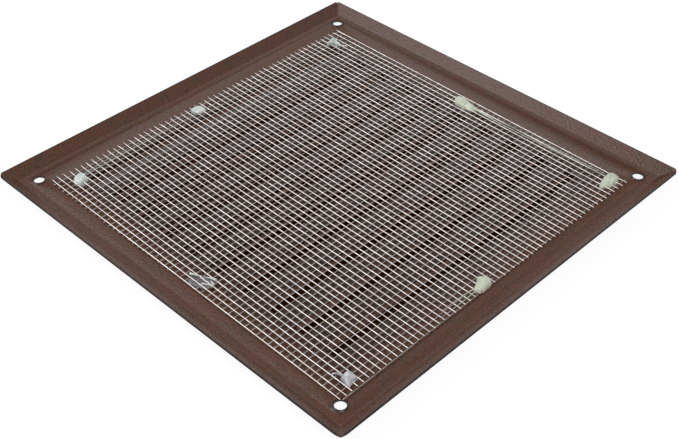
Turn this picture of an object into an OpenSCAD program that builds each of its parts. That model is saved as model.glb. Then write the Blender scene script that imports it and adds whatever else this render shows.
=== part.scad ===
// Square louvred vent grille, seen from its back: a pressed and painted steel panel with a rim
// turned up all round, ten louvres pressed out towards the face, a welded wire insect mesh laid
// over the back, and eight dabs of hot-melt glue that hold the mesh.
// It lies on its face: +Z is the back, the louvre lips touch z = 0, and the origin is in the
// middle of the panel. The louvres run along X and open towards +Y.

/* [Panel] */
// Outer width and length of the square panel
panel_size = 200; // [170:1:260]
// Thickness of the steel sheet
sheet_t = 0.8; // [0.5:0.1:1.2]
// Width of the sloped rim in plan, from its fold to the panel's edge
rim_w = 5.7; // [4.5:0.1:8]
// Slope of the rim from the flat
rim_angle = 32.5; // [25:0.5:50]
// Inside radius of the fold between flat and rim
rim_fold_r = 1.2; // [0.6:0.1:2]
// Radius of the panel's four corners in plan
corner_r = 3.5; // [1.5:0.5:5]

/* [Screw holes] */
// Diameter of the four screw holes
hole_d = 4.5; // [3.5:0.1:5.5]
// Distance from the rim's fold to the hole centres
hole_margin = 6.3; // [5.8:0.1:8]
// Height of the dimple that is pressed up round each hole
dimple_rise = 0.6; // [0.3:0.1:1]
// Diameter of the dimple's flat top
dimple_top_d = 6.2; // [5.8:0.1:6.6]
// Diameter of the dimple at the flat
dimple_base_d = 9; // [8:0.1:10]

/* [Louvres] */
// Distance from the rim's fold to the ends of the louvres
louvre_margin = 19.8; // [18:0.1:35]
// Distance from one louvre to the next
louvre_pitch = 15.4; // [14:0.1:22]
// Width of one louvre, from its fold to its open lip
louvre_w = 9.8; // [8.5:0.1:12]
// How far the lip is pressed out of the sheet
louvre_depth = 4; // [2.5:0.1:4.5]
// Length of the closed end of a louvre
louvre_end_w = 5.2; // [5:0.1:8]

/* [Wire mesh] */
// Distance from the rim's fold to the mesh's outer wires, before it is shifted
mesh_margin = 10.5; // [9.5:0.1:18]
// Diameter of the long wires, which lie on top
long_wire_d = 0.42; // [0.3:0.01:0.8]
// Diameter of the cross wires, which lie underneath
cross_wire_d = 0.36; // [0.3:0.01:0.8]
// Distance between long wires
long_pitch = 2.83; // [2:0.01:6]
// Distance between cross wires
cross_pitch = 3.1; // [2:0.01:6]
// How far the mesh was laid off centre to the left
mesh_shift_x = -2.4; // [-3:0.1:3]
// How far the mesh was laid off centre to the front
mesh_shift_y = -2.8; // [-3:0.1:3]
// Lean of the long wires, in degrees
long_lean = 0.66; // [-1:0.01:1]
// Lean of the cross wires, in degrees
cross_lean = 0.45; // [-1:0.01:1]
// Cut ends of the long wires beyond the last cross wire, at the rear
prong_rear = 2.2; // [0.3:0.1:3]
// Cut ends of the long wires beyond the first cross wire, at the front
prong_front = 0.6; // [0.3:0.1:1.5]
// Cut ends of the cross wires beyond the outer long wires
prong_side = 0.8; // [0.3:0.1:2]

/* [Glue] */
// Height of the glue dabs above the wires
glue_crown = 1.1; // [0.5:0.1:2]
// Clearance between the glue and each wire
glue_gap = 0.02; // [0.01:0.01:0.05]
// Thickness of the drawn glue string
glue_string_d = 0.7; // [0.4:0.05:0.9]

/* [Hidden] */

steel_brown = "#5b4640";
wire_grey = "#b9b4ae";
glue_cream = "#b9c4b4";

arc_fn = 96;
fold_steps = 6;
wire_fn = 24;
dab_fn = 20;
string_fn = 12;
over = 5;

// Levels: the lips of the louvres are the lowest, then the face and the back of the flat
face_z = louvre_depth;
back_z = face_z + sheet_t;

// The rim's fold line on the face side, where the arc of the fold starts, and the sloped strip
half = panel_size / 2;
flat_half = half - rim_w;
fold_reach = (rim_fold_r + sheet_t) * tan(rim_angle / 2);
fold_x = flat_half - fold_reach;
rim_len = rim_w / cos(rim_angle) - fold_reach;
rim_top_z = back_z + rim_w * tan(rim_angle);

hole_at = flat_half - hole_margin;

// Share of a louvre's drop that its upper arc takes, and what the closed ends drop below the lip
upper_share = 0.55;
end_extra = 0.5;
louvre_len = 2 * (flat_half - louvre_margin);
louvre_n = floor((louvre_len - louvre_w) / louvre_pitch + 0.01) + 1;
louvre_run = (louvre_n - 1) * louvre_pitch + louvre_w;

// Flat ring by which a dimple reaches into the sheet round it
dimple_brim = 0.4;

// The mesh lies clear above the dimples
dimple_gap = 0.05;
mesh_span = 2 * (flat_half - mesh_margin);
long_n = floor(mesh_span / long_pitch) + 1;
cross_n = floor(mesh_span / cross_pitch) + 1;
mesh_hx = (long_n - 1) * long_pitch / 2;
mesh_hy = (cross_n - 1) * cross_pitch / 2;
mesh_lift = dimple_rise + dimple_gap;
cross_z = back_z + mesh_lift + cross_wire_d / 2;
long_z = back_z + mesh_lift + cross_wire_d + long_wire_d / 2;
mesh_top_z = long_z + long_wire_d / 2;
glue_top_z = mesh_top_z + glue_crown;

// The dab in the front right corner lies this far in from the mesh's front edge, and the drawn
// string stops this far behind the dab's middle
front_right_inset = 4.3;
string_stop = 2.7;

// Rounded square plate, for trimming the corners of the panel
module rounded_plate(size, r, z0, z1) {
    flat_w = size - 2 * r;
    translate([0, 0, z0]) linear_extrude(z1 - z0) union() {
        square([size, flat_w], center = true);
        square([flat_w, size], center = true);
        for (x = [-1, 1], y = [-1, 1])
            translate([x * flat_w / 2, y * flat_w / 2]) circle(r, $fn = arc_fn);
    }
}

// Points on the fold's arc at radius r, from level to the rim's slope, as seen along the flange
function fold_arc(r) = [
    for (i = [0 : fold_steps]) let (a = rim_angle * i / fold_steps)
        [r * sin(a), sheet_t + rim_fold_r - r * cos(a)]
];

// Section of one rim flange: fold arc and sloped strip, with X outwards from the fold
module rim_section() {
    slope = [cos(rim_angle), sin(rim_angle)];
    outside = fold_arc(rim_fold_r + sheet_t);
    inside = fold_arc(rim_fold_r);
    polygon(concat(
        outside,
        [outside[fold_steps] + rim_len * slope, inside[fold_steps] + rim_len * slope],
        [for (i = [fold_steps : -1 : 0]) inside[i]]
    ));
}

// One flange, mitred at both ends where it meets its neighbours
module rim_flange() {
    intersection() {
        translate([fold_x, half, face_z]) rotate([90, 0, 0])
            linear_extrude(2 * half) rim_section();
        translate([0, 0, face_z - over]) linear_extrude(rim_top_z + over)
            polygon([[0, 0], [half + over, -half - over], [half + over, half + over]]);
    }
}

// Flat sheet with its rim, corners rounded
module rimmed_sheet() {
    intersection() {
        union() {
            translate([-fold_x, -fold_x, face_z]) cube([2 * fold_x, 2 * fold_x, sheet_t]);
            for (side = [0 : 3]) rotate(90 * side) rim_flange();
        }
        rounded_plate(panel_size, corner_r, face_z - over, rim_top_z + over);
    }
}

// Space above an S-shaped drop of two tangent arcs. It starts level at the origin, goes down by
// drop over the width w, and ends level. out moves the arcs outwards, for the sheet's far side.
module drop_section(w, drop, out) {
    steep = 2 * atan(drop / w);
    arc_sum = w / sin(steep);
    upper_r = arc_sum * upper_share;
    lower_r = arc_sum - upper_r;
    split = (upper_r - out) * sin(steep);
    difference() {
        translate([0, -upper_r]) square([split, upper_r]);
        translate([0, -upper_r]) circle(upper_r - out, $fn = arc_fn);
    }
    difference() {
        translate([split, -drop - out]) square([w - split, drop + out]);
        difference() {
            translate([split, -drop - out]) square([w - split, lower_r + out]);
            translate([w, lower_r - drop]) circle(lower_r + out, $fn = arc_fn);
        }
    }
}

// Space inside one louvre from its fold to its lip, with out as the sheet's thickness or zero.
// The closed ends go down a little further than the lip, so that the long drop always cuts them.
module louvre_space(out) {
    end_drop = louvre_depth + end_extra;
    intersection() {
        rotate([90, 0, 90]) linear_extrude(louvre_len) drop_section(louvre_w, louvre_depth, out);
        translate([0, louvre_w, 0]) rotate([90, 0, 0]) linear_extrude(louvre_w) union() {
            drop_section(louvre_end_w, end_drop, out);
            translate([louvre_len, 0]) mirror([1, 0])
                drop_section(louvre_end_w, end_drop, out);
            translate([louvre_end_w, -end_drop - out])
                square([louvre_len - 2 * louvre_end_w, end_drop + out]);
        }
    }
}

// Pressed hood of one louvre: folded on its front side, closed at both ends, open at the rear
module louvre_hood() {
    difference() {
        louvre_space(sheet_t);
        louvre_space(0);
    }
}

// Dimple pressed up round a screw hole, with the same thickness as the sheet
module hole_dimple() {
    rotate_extrude($fn = arc_fn) polygon([
        [dimple_base_d / 2 + dimple_brim, 0],
        [dimple_base_d / 2 + dimple_brim, sheet_t],
        [dimple_base_d / 2, sheet_t],
        [dimple_top_d / 2, sheet_t + dimple_rise],
        [hole_d / 2, sheet_t + dimple_rise],
        [hole_d / 2, dimple_rise],
        [dimple_top_d / 2, dimple_rise],
        [dimple_base_d / 2, 0]
    ]);
}

module at_louvres() {
    for (i = [0 : louvre_n - 1])
        translate([-louvre_len / 2, -louvre_run / 2 + i * louvre_pitch, 0]) children();
}

module at_holes() {
    for (x = [-1, 1], y = [-1, 1]) translate([x * hole_at, y * hole_at, face_z]) children();
}

module louvre_panel() {
    color(steel_brown) {
        difference() {
            rimmed_sheet();
            at_louvres() translate([0, 0, face_z - over]) cube([louvre_len, louvre_w, 2 * over]);
            at_holes() translate([0, 0, -over]) cylinder(h = 2 * over, d = dimple_base_d, $fn = arc_fn);
        }
        at_louvres() translate([0, 0, back_z]) louvre_hood();
        at_holes() hole_dimple();
    }
}

// One long wire, counted from the left, made thicker all round by grow
module long_wire(i, grow = 0) {
    translate([mesh_shift_x - mesh_hx + i * long_pitch, mesh_shift_y, long_z])
        rotate(-long_lean) translate([0, mesh_hy + prong_rear + grow, 0]) rotate([90, 0, 0])
            cylinder(h = 2 * mesh_hy + prong_rear + prong_front + 2 * grow,
                d = long_wire_d + 2 * grow, $fn = wire_fn);
}

// One cross wire, counted from the front, made thicker all round by grow
module cross_wire(j, grow = 0) {
    translate([mesh_shift_x, mesh_shift_y - mesh_hy + j * cross_pitch, cross_z])
        rotate(cross_lean) translate([-mesh_hx - prong_side - grow, 0, 0]) rotate([0, 90, 0])
            cylinder(h = 2 * (mesh_hx + prong_side + grow), d = cross_wire_d + 2 * grow, $fn = wire_fn);
}

module mesh_long_wires() {
    color(wire_grey) for (i = [0 : long_n - 1]) long_wire(i);
}

module mesh_cross_wires() {
    color(wire_grey) for (j = [0 : cross_n - 1]) cross_wire(j);
}

// Rounded lump through all the balls in the list, each given as [x, y, radius, sink], with sink as
// how far the ball's top lies below the crown of the dab
module lump(balls) {
    hull() for (b = balls)
        translate([b[0], b[1], glue_top_z - b[2] - b[3]]) sphere(b[2], $fn = dab_fn);
}

// Drawn string of glue that lies on the cross wires, from one point to the other
module string(from, to) {
    r = glue_string_d / 2;
    hull() for (p = [from, to])
        translate([p[0], p[1], cross_z + cross_wire_d / 2 + glue_gap + r])
            sphere(r, $fn = string_fn);
}

// Glue dab centred at the place given from the middle of the mesh. Its lumps are the children,
// cut level on the sheet's back and hollowed where the wires of the mesh run through it.
module glue_dab(place, reach) {
    x = mesh_shift_x + place[0];
    y = mesh_shift_y + place[1];
    color(glue_cream) difference() {
        translate([x, y, 0]) children();
        translate([x - 2 * reach, y - 2 * reach, -over]) cube([4 * reach, 4 * reach, back_z + over]);
        for (i = [0 : long_n - 1])
            if (abs(i * long_pitch - mesh_hx - place[0] + place[1] * tan(long_lean)) < reach)
                long_wire(i, glue_gap);
        for (j = [0 : cross_n - 1])
            if (abs(j * cross_pitch - mesh_hy - place[1] + place[0] * tan(cross_lean)) < reach)
                cross_wire(j, glue_gap);
    }
}

// Squarish dab in the rear left corner
module glue_rear_left() {
    glue_dab([9.8 - mesh_hx, mesh_hy - 4.8], 6)
        lump([[-1.5, -1.5, 1.7, 0.2], [1.6, -1.3, 1.6, 0], [1.3, 1.7, 1.7, 0], [-1.2, 1.5, 1.6, 0.3]]);
}

// Low oval dab on the rear edge
module glue_rear_middle() {
    glue_dab([-6.5, mesh_hy - 1.8], 6)
        lump([[-1.6, -0.3, 1.6, 0.3], [1.7, 0.2, 1.9, 0]]);
}

// Dab in the rear right corner, pulled out into two points
module glue_rear_right() {
    glue_dab([mesh_hx - 7.3, mesh_hy - 4], 9) {
        lump([[-0.6, 0.4, 1.7, 0], [0.8, 1.2, 1.6, 0.2]]);
        lump([[-0.4, 0, 1.3, 0], [0.2, -5.2, 0.7, 0.4]]);
        lump([[-0.4, 0, 1.2, 0], [-4.2, -0.8, 0.6, 0.5]]);
    }
}

// Drop on the right edge, with a string drawn forward between the last two long wires, almost to
// the dab in the corner
module glue_right_middle() {
    place = [mesh_hx - 3.6, 1.1];
    lane_x = mesh_hx - long_pitch / 2 - place[0];
    stop_y = front_right_inset + string_stop - mesh_hy;
    glue_dab(place, 6) {
        lump([[-0.4, 1.6, 1.3, 0.3], [0.2, -0.9, 1.8, 0]]);
        string([lane_x + place[1] * tan(long_lean), 0],
            [lane_x + stop_y * tan(long_lean), stop_y - place[1]]);
    }
}

// Long oval dab in the front right corner
module glue_front_right() {
    glue_dab([mesh_hx - 4.8, front_right_inset - mesh_hy], 9)
        lump([[-3.4, -0.2, 1.3, 0.4], [0.4, -0.3, 2, 0], [3, 0.5, 1.9, 0.1]]);
}

// Dab on the front edge, with a short tail to the left
module glue_front_middle() {
    glue_dab([-7.2, 1.7 - mesh_hy], 8) {
        lump([[-1.3, 0, 1.5, 0.3], [1.6, 0.4, 1.8, 0]]);
        lump([[-1.6, 0, 1.0, 0.4], [-5.6, 0.3, 0.6, 0.7]]);
    }
}

// Squarish dab in the front left corner, with a small hooked tail
module glue_front_left() {
    glue_dab([7.5 - mesh_hx, 4.4 - mesh_hy], 7) {
        lump([[-1.4, -1.4, 1.7, 0], [1.6, -1.5, 1.7, 0], [1.6, 1.5, 1.7, 0.2], [-1.3, 1.2, 1.6, 0.1]]);
        lump([[-1.7, 1.7, 0.95, 0.2], [-2.6, 4.5, 0.6, 0.45]]);
    }
}

// Flat smeared dab on the left edge
module glue_left_middle() {
    glue_dab([4.5 - mesh_hx, -6.4], 8)
        lump([[-1.5, -2.2, 1.3, 0.5], [1.6, -2.4, 1.2, 0.4], [1.2, 2.3, 1.1, 0.5], [-1, 3.2, 0.9, 0.6]]);
}

louvre_panel();
mesh_long_wires();
mesh_cross_wires();
glue_rear_left();
glue_rear_middle();
glue_rear_right();
glue_right_middle();
glue_front_right();
glue_front_middle();
glue_front_left();
glue_left_middle();
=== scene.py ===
"""Square louvred vent grille lying on its face, with a glued wire mesh over its back."""
import math

import bpy
import numpy as np
from mathutils import Matrix, Vector


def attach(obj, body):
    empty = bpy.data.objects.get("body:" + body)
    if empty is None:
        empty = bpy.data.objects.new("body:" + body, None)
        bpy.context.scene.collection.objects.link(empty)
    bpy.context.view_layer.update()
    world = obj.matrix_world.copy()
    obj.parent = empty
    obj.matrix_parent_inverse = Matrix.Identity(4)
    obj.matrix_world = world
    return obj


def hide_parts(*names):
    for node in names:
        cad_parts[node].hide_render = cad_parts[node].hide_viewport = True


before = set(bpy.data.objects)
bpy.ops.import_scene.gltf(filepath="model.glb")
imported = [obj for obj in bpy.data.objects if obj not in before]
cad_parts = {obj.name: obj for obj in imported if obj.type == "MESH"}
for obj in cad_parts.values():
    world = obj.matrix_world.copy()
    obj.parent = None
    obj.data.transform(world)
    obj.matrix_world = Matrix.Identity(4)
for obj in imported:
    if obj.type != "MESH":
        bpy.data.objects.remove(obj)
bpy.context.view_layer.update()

# Real sizes of the grille, in millimetres, and its slopes and leans
MM = 0.001
RIM_SLOPE = math.radians(32.5)
HOLE_R = 2.25
HOLE_TOP_Z = 5.4
HOLE_REACH = 88.0
DIMPLE_R = 4.9
MESH_SHIFT = (-2.4, -2.8)
LONG_COUNT = 60
LONG_PITCH = 2.83
LONG_LEAN = math.radians(0.66)
LONG_Z = 6.02
LONG_WIRE_D = 0.42
CROSS_COUNT = 55
CROSS_PITCH = 3.1
CROSS_LEAN = math.radians(0.45)
CROSS_Z = 5.63
CROSS_WIRE_D = 0.36
MESH_HALF_X = (LONG_COUNT - 1) * LONG_PITCH / 2
MESH_HALF_Y = (CROSS_COUNT - 1) * CROSS_PITCH / 2
WIRE_TOP_Z = LONG_Z + LONG_WIRE_D / 2
GLUE_FOOT_Z = 4.83

# Sides of a round wire or string of glue
TUBE_SIDES = 8

# Inputs and output of a Mix node that mixes colours
MIX_FACTOR, MIX_A, MIX_B, MIX_RESULT = 0, 6, 7, 2


def hex_colour(code):
    """Linear RGBA of an sRGB hex colour."""
    srgb = np.array([int(code[k:k + 2], 16) / 255 for k in (1, 3, 5)])
    linear = np.where(srgb <= 0.04045, srgb / 12.92, ((srgb + 0.055) / 1.055) ** 2.4)
    return (*(float(c) for c in linear), 1.0)


def add(tree, kind, values=(), links=(), stops=(), **settings):
    """Adds a node with its settings, its sockets' values and feeds, and a ramp's colour stops."""
    node = tree.nodes.new(kind)
    for name, value in settings.items():
        setattr(node, name, value)
    for name, value in dict(values).items():
        node.inputs[name].default_value = value
    for name, output in dict(links).items():
        tree.links.new(output, node.inputs[name])
    for k, (position, code) in enumerate(stops):
        elements = node.color_ramp.elements
        element = elements[k] if k < len(elements) else elements.new(position)
        element.position = position
        element.color = hex_colour(code)
    return node


def new_material(name):
    """An empty material, its node tree, its Principled shader and Object coordinates."""
    material = bpy.data.materials.new(name)
    material.use_nodes = True
    tree = material.node_tree
    return material, tree, tree.nodes["Principled BSDF"], add(tree, "ShaderNodeTexCoord")


# Brown powder coat with a hammered finish, sprayed on pressed steel and baked. The coat pulls
# itself into small dimples about a millimetre across, glossy on top, with reddish and olive
# flecks of pigment, and its colour drifts a little over some centimetres. Painted shade makes the
# middle greyer and darker, where the mesh shadows the sheet, and darkens the coat round the screw
# holes and along the cut edge.
def hammered_powder_coat():
    material, tree, shader, place = new_material("hammered_brown_powder_coat")
    drift = add(tree, "ShaderNodeTexNoise", {"Scale": 110.0, "Detail": 6.0, "Roughness": 0.75},
                {"Vector": place.outputs["Object"]})
    fleck = add(tree, "ShaderNodeTexNoise", {"Scale": 1000.0, "Detail": 2.0, "Roughness": 0.6},
                {"Vector": place.outputs["Object"]})
    ground = add(tree, "ShaderNodeValToRGB", links={"Fac": drift.outputs["Fac"]},
                 stops=[(0.36, "#51341a"), (0.5, "#593018"), (0.64, "#5e2d1b")])
    speck = add(tree, "ShaderNodeValToRGB", links={"Fac": fleck.outputs["Fac"]},
                stops=[(0.36, "#a3a08c"), (0.5, "#ffffff"), (0.64, "#fff0e6")])
    colour = add(tree, "ShaderNodeMix", {MIX_FACTOR: 1.0},
                 {MIX_A: ground.outputs["Color"], MIX_B: speck.outputs["Color"]},
                 data_type="RGBA", blend_type="MULTIPLY")
    quarter = add(tree, "ShaderNodeVectorMath", links={0: place.outputs["Object"]},
                  operation="ABSOLUTE")
    plan = add(tree, "ShaderNodeVectorMath", {1: (1, 1, 0)}, {0: quarter.outputs[0]},
               operation="MULTIPLY")
    from_hole = add(tree, "ShaderNodeVectorMath", {1: (HOLE_REACH * MM, HOLE_REACH * MM, 0)},
                    {0: plan.outputs[0]}, operation="DISTANCE")
    apart = add(tree, "ShaderNodeSeparateXYZ", links={0: plan.outputs[0]})
    from_middle = add(tree, "ShaderNodeMath", links={0: apart.outputs["X"], 1: apart.outputs["Y"]},
                      operation="MAXIMUM")
    # Each one's distance, where it starts and where it is full in metres, and its tint
    # Painted shade under the mesh, greyer and darker where the wires shadow the sheet
    painted_mesh_shade = (from_middle.outputs[0], 0.086, 0.072, "#a5a8b0")
    # Painted shade round the screw holes, where the dimples' slopes turn from the light
    painted_hole_shade = (from_hole.outputs["Value"], 0.0036, 0.0027, "#65574f")
    # Painted shade along the cut edge, whose underside lies in shadow
    painted_edge_shade = (from_middle.outputs[0], 0.099, 0.0995, "#665c55")
    for distance, start, full, tint in (painted_mesh_shade, painted_hole_shade, painted_edge_shade):
        share = add(tree, "ShaderNodeMapRange", {"From Min": start, "From Max": full},
                    {"Value": distance}, interpolation_type="SMOOTHSTEP")
        colour = add(tree, "ShaderNodeMix", {MIX_B: hex_colour(tint)},
                     {MIX_FACTOR: share.outputs["Result"], MIX_A: colour.outputs[MIX_RESULT]},
                     data_type="RGBA", blend_type="MULTIPLY")
    tree.links.new(colour.outputs[MIX_RESULT], shader.inputs["Base Color"])
    dimple = add(tree, "ShaderNodeTexNoise", {"Scale": 900.0, "Detail": 2.0, "Roughness": 0.55},
                 {"Vector": place.outputs["Object"]})
    bump = add(tree, "ShaderNodeBump", {"Strength": 0.35, "Distance": 0.0003},
               {"Height": dimple.outputs["Fac"]})
    tree.links.new(bump.outputs["Normal"], shader.inputs["Normal"])
    gloss = add(tree, "ShaderNodeMapRange", {"To Min": 0.2, "To Max": 0.34},
                {"Value": drift.outputs["Fac"]})
    tree.links.new(gloss.outputs["Result"], shader.inputs["Roughness"])
    shader.inputs["IOR"].default_value = 1.42
    return material


# Hot-dip galvanised steel wire: a soft warm grey metal, brighter where the zinc ran thick
def galvanised_wire(name, bright, dull):
    material, tree, shader, place = new_material(name)
    zinc = add(tree, "ShaderNodeTexNoise", {"Scale": 260.0, "Detail": 3.0},
               {"Vector": place.outputs["Object"]})
    colour = add(tree, "ShaderNodeValToRGB", links={"Fac": zinc.outputs["Fac"]},
                 stops=[(0.35, dull), (0.62, bright)])
    tree.links.new(colour.outputs["Color"], shader.inputs["Base Color"])
    gloss = add(tree, "ShaderNodeMapRange", {"To Min": 0.5, "To Max": 0.34},
                {"Value": zinc.outputs["Fac"]})
    tree.links.new(gloss.outputs["Result"], shader.inputs["Roughness"])
    shader.inputs["Metallic"].default_value = 1.0
    return material


# Hot-melt glue, an EVA resin set from the melt: milky, cream to pale green, with a waxy gloss and
# light that goes a little way in
def hot_melt_glue(name, cloudy, clear, transmission):
    material, tree, shader, place = new_material(name)
    cloud = add(tree, "ShaderNodeTexNoise", {"Scale": 420.0, "Detail": 3.0, "Distortion": 0.6},
                {"Vector": place.outputs["Object"]})
    colour = add(tree, "ShaderNodeValToRGB", links={"Fac": cloud.outputs["Fac"]},
                 stops=[(0.38, clear), (0.62, cloudy)])
    tree.links.new(colour.outputs["Color"], shader.inputs["Base Color"])
    ripple = add(tree, "ShaderNodeTexNoise", {"Scale": 700.0, "Detail": 1.0},
                 {"Vector": place.outputs["Object"]})
    bump = add(tree, "ShaderNodeBump", {"Strength": 0.25, "Distance": 0.0003},
               {"Height": ripple.outputs["Fac"]})
    tree.links.new(bump.outputs["Normal"], shader.inputs["Normal"])
    shader.inputs["Roughness"].default_value = 0.28
    shader.inputs["IOR"].default_value = 1.48
    shader.inputs["Subsurface Weight"].default_value = 0.4
    shader.inputs["Subsurface Radius"].default_value = (0.0012, 0.0013, 0.001)
    shader.inputs["Subsurface Scale"].default_value = 1.0
    shader.inputs["Transmission Weight"].default_value = transmission
    return material


def new_piece(name, points, blocks, material, nodes):
    """One smooth mesh piece in metres from points in millimetres, which stands for CAD nodes.

    Each block is an array of faces that have the same number of corners.
    """
    mesh = bpy.data.meshes.new(name)
    faces = [face for block in blocks for face in block.tolist()]
    mesh.from_pydata((points * MM).tolist(), [], faces)
    mesh.validate()
    mesh.polygons.foreach_set("use_smooth", np.ones(len(mesh.polygons), bool))
    mesh.materials.append(material)
    mesh.update()
    piece = bpy.data.objects.new(name, mesh)
    bpy.context.scene.collection.objects.link(piece)
    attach(piece, "root")
    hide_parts(*nodes)


def grid_faces(rows, columns):
    """Quads of a grid whose columns close on themselves: each joins a point to its neighbours."""
    row, column = np.meshgrid(np.arange(rows - 1), np.arange(columns), indexing="ij")
    right = (column + 1) % columns
    quads = [row * columns + column, row * columns + right,
             (row + 1) * columns + right, (row + 1) * columns + column]
    return np.stack(quads, -1).reshape(-1, 4)


def tubes(paths, radii):
    """Closed round tubes along many paths at once.

    Each ring is its path's point plus the radius times (cos a, sin a) in the plane across the
    path, whose two directions come from the path's own tangent and the vertical. The end rings
    are closed by one face each.
    """
    sides = TUBE_SIDES
    count, steps, _ = paths.shape
    tangent = np.gradient(paths, axis=1)
    tangent /= np.linalg.norm(tangent, axis=2, keepdims=True)
    side = np.cross(tangent, [0.0, 0.0, 1.0])
    side /= np.linalg.norm(side, axis=2, keepdims=True)
    top = np.cross(side, tangent)
    angle = np.arange(sides) * 2 * math.pi / sides
    ring = side[:, :, None] * np.cos(angle)[:, None] + top[:, :, None] * np.sin(angle)[:, None]
    points = paths[:, :, None] + ring * radii[:, :, None, None]
    walls = grid_faces(steps, sides)[:, ::-1]
    ends = np.stack([np.arange(sides), np.arange(sides)[::-1] + (steps - 1) * sides])
    offset = np.arange(count)[:, None, None] * steps * sides
    quads = (walls + offset).reshape(-1, 4)
    caps = (ends + offset).reshape(-1, sides)
    return points.reshape(-1, 3), [quads, caps]


def wander(rng, count, along, reach, waves):
    """Slow sideways drift of many wires: a few sines of random phase along each, in millimetres."""
    phase = rng.uniform(0, 2 * math.pi, (count, len(waves), 1))
    size = rng.uniform(0.3, 1.0, (count, len(waves), 1))
    wave = np.array(waves)[None, :, None]
    return reach * (size * np.sin(2 * math.pi * along[:, None] / wave + phase)).sum(1)


def long_wires(material):
    """Wires across the louvres, on top: straight lines with a slight drift and uneven cut ends."""
    rng = np.random.default_rng(11)
    steps = 111
    foot_x = MESH_SHIFT[0] - MESH_HALF_X + np.arange(LONG_COUNT) * LONG_PITCH
    share = np.arange(LONG_COUNT) / (LONG_COUNT - 1)
    rear = MESH_HALF_Y + rng.normal(2.1, 0.28, LONG_COUNT)
    # The first two wires were cut longer
    rear[0:2] += (0.5, 0.7)
    front = MESH_HALF_Y + 0.25 + 0.9 * share + rng.uniform(-0.15, 0.25, LONG_COUNT)
    along = -front[:, None] + (rear + front)[:, None] * np.linspace(0, 1, steps)
    x = foot_x[:, None] + along * math.tan(LONG_LEAN)
    x += wander(rng, LONG_COUNT, along, 0.05, (37.0, 83.0))
    x += rng.normal(0, 0.05, (LONG_COUNT, 1))
    past_rear = np.clip(along - MESH_HALF_Y, 0, None)
    x += past_rear * rng.normal(0, 0.07, (LONG_COUNT, 1))
    z = np.full_like(x, LONG_Z) + 0.02 * np.sin(2 * math.pi * along / CROSS_PITCH)
    paths = np.stack([x, MESH_SHIFT[1] + along, z], -1)
    points, blocks = tubes(paths, np.full(x.shape, LONG_WIRE_D / 2))
    new_piece("long_wires", points, blocks, material, ["mesh_long_wires"])


def cross_wires(material):
    """Wires along the louvres, underneath: a little wavy, with a small kink at each long wire."""
    rng = np.random.default_rng(23)
    steps = 181
    foot_y = MESH_SHIFT[1] - MESH_HALF_Y + np.arange(CROSS_COUNT) * CROSS_PITCH
    foot_y[1:-1] += rng.normal(0, 0.1, CROSS_COUNT - 2)
    left = MESH_HALF_X + rng.uniform(0.1, 0.25, CROSS_COUNT)
    right = MESH_HALF_X + rng.uniform(0.6, 1.5, CROSS_COUNT)
    along = -left[:, None] + (left + right)[:, None] * np.linspace(0, 1, steps)
    y = foot_y[:, None] + along * math.tan(CROSS_LEAN)
    y += wander(rng, CROSS_COUNT, along, 0.06, (17.0, 41.0, 90.0))
    y += 0.035 * np.sin(2 * math.pi * along / LONG_PITCH + rng.uniform(0, 6.3, (CROSS_COUNT, 1)))
    z = np.full_like(y, CROSS_Z) + 0.02 * np.cos(2 * math.pi * along / LONG_PITCH)
    paths = np.stack([MESH_SHIFT[0] + along, y, z], -1)
    points, blocks = tubes(paths, np.full(y.shape, CROSS_WIRE_D / 2))
    new_piece("cross_wires", points, blocks, material, ["mesh_cross_wires"])


def smooth_loop(values, count):
    """A closed smooth curve through evenly spaced values: their Fourier series on a finer grid."""
    terms = np.fft.rfft(values)
    angle = np.arange(count) * 2 * math.pi / count
    order = np.arange(len(terms))
    weight = np.where((order == 0) | (order == len(values) / 2), 1.0, 2.0)
    wave = np.exp(1j * order[:, None] * angle)
    return (weight[:, None] * terms[:, None] * wave).real.sum(0) / len(values)


def dab_surface(centre, radii, crown, lumps, sink=5):
    """A dab set from the melt, as a grid over direction and distance from its middle.

    The outline is a smooth loop through the radii. The height over the sheet is the crown times
    the square root of one less the distance to the power sink, with gaussian lumps and a slow
    ripple on it, all fading at the outline. A lower sheet closes it.
    """
    turns, rings = 72, 22
    angle = np.arange(turns) * 2 * math.pi / turns
    outline = smooth_loop(radii, turns)
    share = np.sin(np.linspace(0.02, 1, rings) * math.pi / 2)[:, None]
    x = share * outline * np.cos(angle)
    y = share * outline * np.sin(angle)
    height = crown * np.sqrt(np.clip(1 - share ** sink, 0, 1)) * np.ones(turns)
    for lump_x, lump_y, rise, spread in lumps:
        away = (x - lump_x) ** 2 + (y - lump_y) ** 2
        height += rise * np.exp(-away / spread ** 2) * (1 - share ** 4)
    ripple = np.sin(2.3 * x + 1.1 * y + centre[0]) + np.sin(2.9 * y - 1.3 * x + centre[1])
    height += 0.07 * (1 - share ** 2) * ripple
    upper = np.stack([x + centre[0], y + centre[1], GLUE_FOOT_Z + np.maximum(height, 0)], -1)
    lower = upper[::-1].copy()
    lower[:, :, 2] = GLUE_FOOT_Z
    points = np.concatenate([upper, lower[1:]]).reshape(-1, 3)
    rows = 2 * rings - 1
    walls = grid_faces(rows, turns)[:, ::-1]
    top = np.arange(turns)
    foot = top[::-1] + (rows - 1) * turns
    return points, [walls, np.stack([top, foot])]


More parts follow.
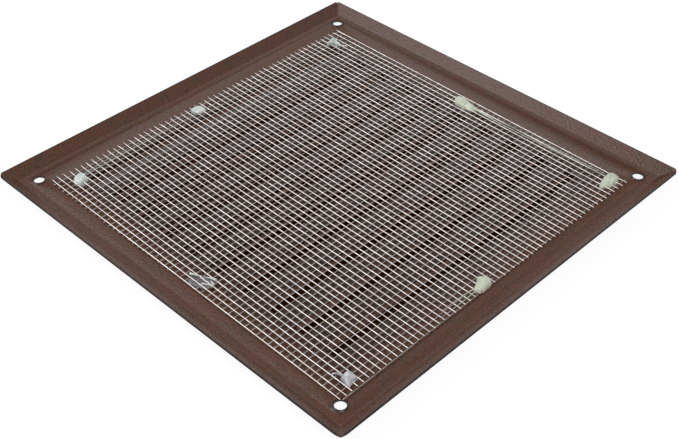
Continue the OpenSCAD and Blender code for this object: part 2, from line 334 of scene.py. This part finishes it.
def strand(route, thick, thin):
    """A drawn string of glue: a tapered tube along a smooth line through the route's points.

    A point's height is over the top of the wires. The radius goes from thick to thin.
    """
    steps = 60
    route = np.asarray(route, float) + (0, 0, WIRE_TOP_Z)
    reach = np.append(0, np.cumsum(np.linalg.norm(np.diff(route, axis=0), axis=1)))
    at = np.linspace(0, reach[-1], steps)
    path = np.stack([np.interp(at, reach, route[:, k]) for k in range(3)], -1)
    kernel = np.array([1, 4, 6, 4, 1]) / 16
    for _ in range(3):
        padded = np.concatenate([path[:1]] * 2 + [path] + [path[-1:]] * 2)
        path = np.stack([np.convolve(padded[:, k], kernel, "valid") for k in range(3)], -1)
    radii = thin + (thick - thin) * (1 - at / reach[-1]) ** 1.6
    return tubes(path[None], radii[None])


def glue_piece(name, material, parts, nodes):
    """Joins dabs and strings of glue into one piece."""
    points, blocks, start = [], [], 0
    for part_points, part_blocks in parts:
        points.append(part_points)
        blocks += [block + start for block in part_blocks]
        start += len(part_points)
    new_piece(name, np.concatenate(points), blocks, material, nodes)


def all_glue(mint, pale_green, grey_green, hazy, clear):
    """The eight dabs, each at its own place on the mesh's edge, with the strings they drew."""
    glue_piece("glue_dab_rear_left", mint, [
        dab_surface((-76.0, 75.4), [3.0, 3.8, 3.8, 3.8, 3.1, 2.8, 3.0, 2.9,
                                    3.4, 3.9, 3.8, 3.4, 3.2, 3.1, 3.2, 2.8],
                    2.25, [(-1.2, 1.2, 0.3, 1.4), (1.6, -1.2, 0.3, 1.2)]),
        strand([(-73.5, 77.2, 0), (-62, 77.9, 0.1), (-40, 77.6, 0.05), (-12, 78.4, 0.1)], 0.13, 0.05),
        strand([(-73.8, 75.6, 0), (-58, 76.1, 0.1), (-30, 76.4, 0.05), (-5, 75.9, 0)], 0.11, 0.05),
    ], ["glue_rear_left"])
    glue_piece("glue_dab_rear_middle", mint, [
        dab_surface((-9.2, 79.2), [2.9, 2.8, 2.8, 2.6, 2.7, 3.0, 3.3, 3.3,
                                   3.0, 2.8, 2.7, 2.6, 2.8, 3.2, 3.6, 3.3],
                    1.85, [(1.2, 0.3, 0.2, 1.2)]),
    ], ["glue_rear_middle"])
    glue_piece("glue_dab_rear_right", grey_green, [
        dab_surface((73.5, 76.0), [2.1, 3.0, 4.3, 3.7, 2.8, 2.5, 2.8, 3.8,
                                   3.3, 2.1, 1.9, 2.7, 4.6, 3.0, 2.1, 1.9],
                    2.2, [(0.6, 1.0, 0.3, 1.2)]),
        strand([(72, 76.2, 0), (69.6, 76.0, 0.1), (67.8, 75.9, 0)], 0.5, 0.15),
    ], ["glue_rear_right"])
    glue_piece("glue_tail_rear_right", mint, [
        strand([(73.0, 73.6, 0.3), (73.1, 71.4, 0.3), (73.8, 69.8, 0.2), (75.2, 68.8, 0)], 0.6, 0.28),
    ], ["glue_rear_right"])
    glue_piece("glue_dab_right_middle", pale_green, [
        dab_surface((77.5, -2.2), [2.6, 3.0, 4.3, 6.0, 5.4, 4.3, 3.7, 3.2,
                                   3.0, 3.3, 4.0, 5.8, 7.6, 3.8, 2.8, 2.5],
                    2.35, [(0.2, 1.4, 0.3, 1.8), (-0.2, -4.0, 0.2, 1.4)]),
        strand([(77.3, -7.8, 0.1), (77.1, -11.5, 0), (76.7, -16, 0), (76.2, -22, 0)], 0.85, 0.2),
        strand([(76.3, -21, 0), (76.4, -40, 0), (76.9, -62, 0), (77.4, -79, 0)], 0.18, 0.1),
        strand([(77.2, -12, 0), (77.9, -34, 0), (78.3, -58, 0), (78.5, -79, 0)], 0.16, 0.1),
    ], ["glue_right_middle"])
    glue_piece("glue_dab_front_right", pale_green, [
        dab_surface((76.5, -81.6), [5.4, 5.5, 4.3, 3.2, 2.8, 2.8, 3.2, 4.4,
                                    6.0, 4.6, 3.8, 3.2, 3.1, 3.3, 3.9, 4.9],
                    2.3, [(1.4, 0.4, 0.2, 3.0)]),
    ], ["glue_front_right"])
    glue_piece("glue_dab_front_middle", pale_green, [
        dab_surface((-8.8, -84.2), [4.1, 4.2, 4.2, 3.9, 2.9, 2.4, 2.4, 3.0,
                                    4.9, 4.6, 3.8, 3.1, 2.8, 3.0, 3.6, 4.0],
                    2.3, [(1.2, 0.6, 0.25, 2.2)]),
        strand([(-12.6, -85.2, 0), (-17.1, -85.3, 0), (-25, -85.4, 0), (-33.6, -85.3, 0)], 0.2, 0.09),
        strand([(-12.9, -84.2, 0), (-17.1, -83.7, 0.1), (-24, -83.3, 0), (-31, -83.2, 0)], 0.2, 0.09),
        strand([(-5.6, -83.2, 0), (-3.9, -82.9, 0)], 0.25, 0.1),
        strand([(-5.3, -85.0, 0), (-3.8, -85.3, 0)], 0.25, 0.1),
    ], ["glue_front_middle"])
    glue_piece("glue_dab_front_left", hazy, [
        dab_surface((-77.7, -81.8), [2.7, 3.0, 3.5, 3.0, 2.6, 2.7, 2.9, 2.6,
                                     2.7, 3.1, 3.6, 2.8, 2.6, 2.7, 3.2, 2.7],
                    2.2, [(1.2, 1.0, 0.3, 1.4), (-1.3, -0.9, 0.25, 1.2)]),
        strand([(-78.7, -79.6, 0), (-79.2, -77.8, 0.15), (-80.2, -76.7, 0.1), (-81.2, -77.0, 0)],
               0.5, 0.26),
        strand([(-79.8, -83.0, 0.2), (-78.9, -84.0, 0.1), (-77.4, -84.6, 0)], 0.35, 0.2),
    ], ["glue_front_left"])
    glue_piece("glue_film_left_middle", clear, [
        dab_surface((-81.6, -8.2), [3.1, 2.8, 3.0, 3.8, 5.4, 5.4, 5.2, 3.9,
                                    3.2, 3.0, 3.1, 3.9, 4.7, 5.3, 5.6, 4.0],
                    1.0, [], sink=9),
    ], ["glue_left_middle"])
    glue_piece("glue_ridges_left_middle", mint, [
        strand([(-81.9, -2.0, 0), (-80.9, -4.4, 0.1), (-79.8, -6.6, 0.1)], 0.55, 0.25),
        strand([(-77.3, -12.2, 0), (-78.2, -9.6, 0.1), (-79.6, -7.4, 0.1)], 0.6, 0.2),
        strand([(-80.9, -13.8, 0), (-79.6, -12.8, 0.1), (-79.1, -11.0, 0)], 0.7, 0.3),
        strand([(-82.6, -9.6, 0), (-81.6, -10.8, 0.1), (-80.6, -12.8, 0)], 0.4, 0.2),
    ], ["glue_left_middle"])


def painted_panel(material):
    """The pressed sheet: the CAD solid merged, with its curved bends shaded smooth.

    Round each screw hole a point keeps its direction and height, and its distance from the
    hole's middle follows a line through four pairs, which draws the dimple's slope closer in.
    Level faces and the rim's sloped faces stay flat; every other face is bent and smooth.
    """
    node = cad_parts["louvre_panel"]
    mesh = node.data.copy()
    mesh.name = "pressed_panel"
    piece = bpy.data.objects.new("pressed_panel", mesh)
    bpy.context.scene.collection.objects.link(piece)
    joined = piece.modifiers.new("joined", "WELD")
    joined.merge_threshold = 0.00001
    graph = bpy.context.evaluated_depsgraph_get()
    merged = bpy.data.meshes.new_from_object(piece.evaluated_get(graph))
    piece.modifiers.clear()
    piece.data = merged
    points = np.empty(len(merged.vertices) * 3)
    merged.vertices.foreach_get("co", points)
    points = points.reshape(-1, 3) / MM
    middle = np.sign(points[:, :2]) * HOLE_REACH
    away = points[:, :2] - middle
    distance = np.linalg.norm(away, axis=1)
    drawn_in = np.interp(distance, [HOLE_R, 3.1, 4.5, DIMPLE_R], [HOLE_R, 2.45, 3.4, DIMPLE_R])
    near = distance < DIMPLE_R
    points[near, :2] = (middle + away * (drawn_in / distance)[:, None])[near]
    merged.vertices.foreach_set("co", (points * MM).ravel())
    merged.update()
    facing = np.empty(len(merged.polygons) * 3)
    merged.polygons.foreach_get("normal", facing)
    facing = np.sort(np.abs(facing.reshape(-1, 3)), axis=1)
    planes = np.array([(0, 0, 1), (0, math.sin(RIM_SLOPE), math.cos(RIM_SLOPE))])
    bent = (np.abs(facing[:, None] - planes).max(2) > 0.01).all(1)
    merged.polygons.foreach_set("use_smooth", bent)
    merged.set_sharp_from_angle(angle=math.radians(12))
    merged.materials.clear()
    merged.materials.append(material)
    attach(piece, "root")
    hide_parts("louvre_panel")


painted_panel(hammered_powder_coat())
long_wires(galvanised_wire("galvanised_long_wire", "#eae5e3", "#c8c2c0"))
# The cross wires' darker colour is painted shade: the same galvanised steel as the long wires, lying
# under them and lit from behind
cross_wires(galvanised_wire("shaded_galvanised_cross_wire", "#aea8a5", "#8c8683"))
all_glue(
    hot_melt_glue("mint_white_hot_melt_glue", "#f2f7f4", "#ccd9d4", 0.0),
    hot_melt_glue("pale_green_hot_melt_glue", "#e6ebd6", "#ccd8c2", 0.0),
    hot_melt_glue("grey_green_hot_melt_glue", "#e3ebe5", "#b9c7bd", 0.0),
    hot_melt_glue("hazy_hot_melt_glue", "#e6e7ea", "#b4b6bc", 0.0),
    hot_melt_glue("clear_hot_melt_glue", "#b9b4b8", "#8f8a90", 0.6),
)


def camera():
    """The photograph's viewpoint: turned, tilted and rolled, then moved in its own plane."""
    turn, tilt, roll = (math.radians(a) for a in (-45.13, 39.87, -0.27))
    away, moved_right, moved_down = 0.5023, 0.00035, 0.0174
    focal_length_px, picture_width_px, sensor_width_mm = 1208.5, 679, 36
    back = Vector((math.sin(turn) * math.cos(tilt), -math.cos(turn) * math.cos(tilt),
                   math.sin(tilt)))
    level = Vector((math.cos(turn), math.sin(turn), 0))
    upright = back.cross(level)
    right = math.cos(roll) * level + math.sin(roll) * upright
    up = math.cos(roll) * upright - math.sin(roll) * level
    data = bpy.data.cameras.new("camera")
    data.sensor_width = sensor_width_mm
    data.lens = focal_length_px / picture_width_px * sensor_width_mm
    data.clip_start = 0.01
    place = bpy.data.objects.new("camera", data)
    at = back * away + right * moved_right - up * moved_down + Vector((0, 0, HOLE_TOP_Z * MM))
    rows = [[right[k], up[k], back[k], at[k]] for k in range(3)]
    place.matrix_world = Matrix(rows + [[0, 0, 0, 1]])
    bpy.context.scene.collection.objects.link(place)
    bpy.context.scene.camera = place


def shows_white(tree):
    """One for a ray from the camera, a reflection or a view through something clear."""
    rays = add(tree, "ShaderNodeLightPath")
    either = add(tree, "ShaderNodeMath", links={0: rays.outputs["Is Camera Ray"],
                 1: rays.outputs["Is Glossy Ray"]}, operation="MAXIMUM")
    return add(tree, "ShaderNodeMath", links={0: either.outputs[0],
               1: rays.outputs["Is Transmission Ray"]}, operation="MAXIMUM").outputs[0]


def floor():
    """A pale floor that looks white, keeps a soft shadow and is clear from underneath.

    Under the mesh, to the camera and in reflections, it is a brownish diffuse without the glow,
    a painted shade that keeps the slots dark; to other rays it glows, a painted light thrown up on
    the louvres.
    """
    patch_reach, half = 0.082, 3.0
    material = bpy.data.materials.new("pale_floor")
    material.use_nodes = True
    tree = material.node_tree
    tree.nodes.clear()
    plain = add(tree, "ShaderNodeBsdfDiffuse", {"Color": hex_colour("#e6e6e6")})
    shade = add(tree, "ShaderNodeBsdfDiffuse", {"Color": hex_colour("#626262")})
    glow = add(tree, "ShaderNodeEmission", {"Color": hex_colour("#ffffff"), "Strength": 0.93})
    lit = add(tree, "ShaderNodeAddShader", links={0: shade.outputs[0], 1: glow.outputs[0]})
    # Painted shade: a brownish floor under the mesh that keeps the slots dark
    painted_shade_patch = add(tree, "ShaderNodeBsdfDiffuse", {"Color": hex_colour("#9a7a6c")})
    place = add(tree, "ShaderNodeTexCoord")
    apart = add(tree, "ShaderNodeSeparateXYZ", links={0: place.outputs["Object"]})
    far = [add(tree, "ShaderNodeMath", links={0: apart.outputs[k]}, operation="ABSOLUTE")
           for k in "XY"]
    farthest = add(tree, "ShaderNodeMath", links={0: far[0].outputs[0], 1: far[1].outputs[0]},
                   operation="MAXIMUM")
    outside = add(tree, "ShaderNodeMath", {1: patch_reach}, {0: farthest.outputs[0]},
                  operation="GREATER_THAN")
    # Painted light: under the mesh the floor glows for other rays, lighting the louvres from below
    bounce = add(tree, "ShaderNodeEmission", {"Color": hex_colour("#ffffff"), "Strength": 0.9})
    seen = add(tree, "ShaderNodeMixShader", links={0: outside.outputs[0], 1: painted_shade_patch.outputs[0],
                                                  2: lit.outputs[0]})
    unseen = add(tree, "ShaderNodeMixShader", links={0: outside.outputs[0], 1: bounce.outputs[0],
                                                    2: plain.outputs[0]})
    both = add(tree, "ShaderNodeMixShader", links={0: shows_white(tree), 1: unseen.outputs[0],
                                                  2: seen.outputs[0]})
    clear = add(tree, "ShaderNodeBsdfTransparent")
    facing = add(tree, "ShaderNodeNewGeometry")
    one_sided = add(tree, "ShaderNodeMixShader", links={0: facing.outputs["Backfacing"],
                    1: both.outputs[0], 2: clear.outputs[0]})
    add(tree, "ShaderNodeOutputMaterial", links={"Surface": one_sided.outputs[0]})
    mesh = bpy.data.meshes.new("floor")
    mesh.from_pydata([(-half, -half, 0), (half, -half, 0), (half, half, 0), (-half, half, 0)],
                     [], [(0, 1, 2, 3)])
    mesh.materials.append(material)
    piece = bpy.data.objects.new("floor", mesh)
    bpy.context.scene.collection.objects.link(piece)


def lights():
    """A white room, a soft box behind on the left, one in front and a dim low strip behind."""
    world = bpy.data.worlds.new("white_room")
    world.use_nodes = True
    tree = world.node_tree
    tree.nodes.clear()
    room = add(tree, "ShaderNodeBackground", {"Color": hex_colour("#ffffff"), "Strength": 0.2})
    seen = add(tree, "ShaderNodeBackground", {"Color": hex_colour("#ffffff"), "Strength": 1.0})
    both = add(tree, "ShaderNodeMixShader", links={0: shows_white(tree), 1: room.outputs[0],
                                                  2: seen.outputs[0]})
    add(tree, "ShaderNodeOutputWorld", links={"Surface": both.outputs[0]})
    bpy.context.scene.world = world
    lamp_distance = 1.5
    for name, width, height, watts, direction in (
            ("soft_box", 0.9, 0.9, 8, (-0.35, 0.53, 0.77)),
            ("front_box", 0.8, 0.8, 8, (-0.3, -0.55, 0.78)),
            ("back_strip", 1.8, 0.3, 0.7, (0.69, 0.69, 0.2))):
        data = bpy.data.lights.new(name, "AREA")
        data.shape = "RECTANGLE"
        data.size = width
        data.size_y = height
        data.energy = watts
        lamp = bpy.data.objects.new(name, data)
        lamp.location = Vector(direction) * lamp_distance
        lamp.rotation_euler = lamp.location.to_track_quat("Z", "Y").to_euler()
        bpy.context.scene.collection.objects.link(lamp)


camera()
floor()
lights()
bpy.context.scene.view_settings.view_transform = "Standard"
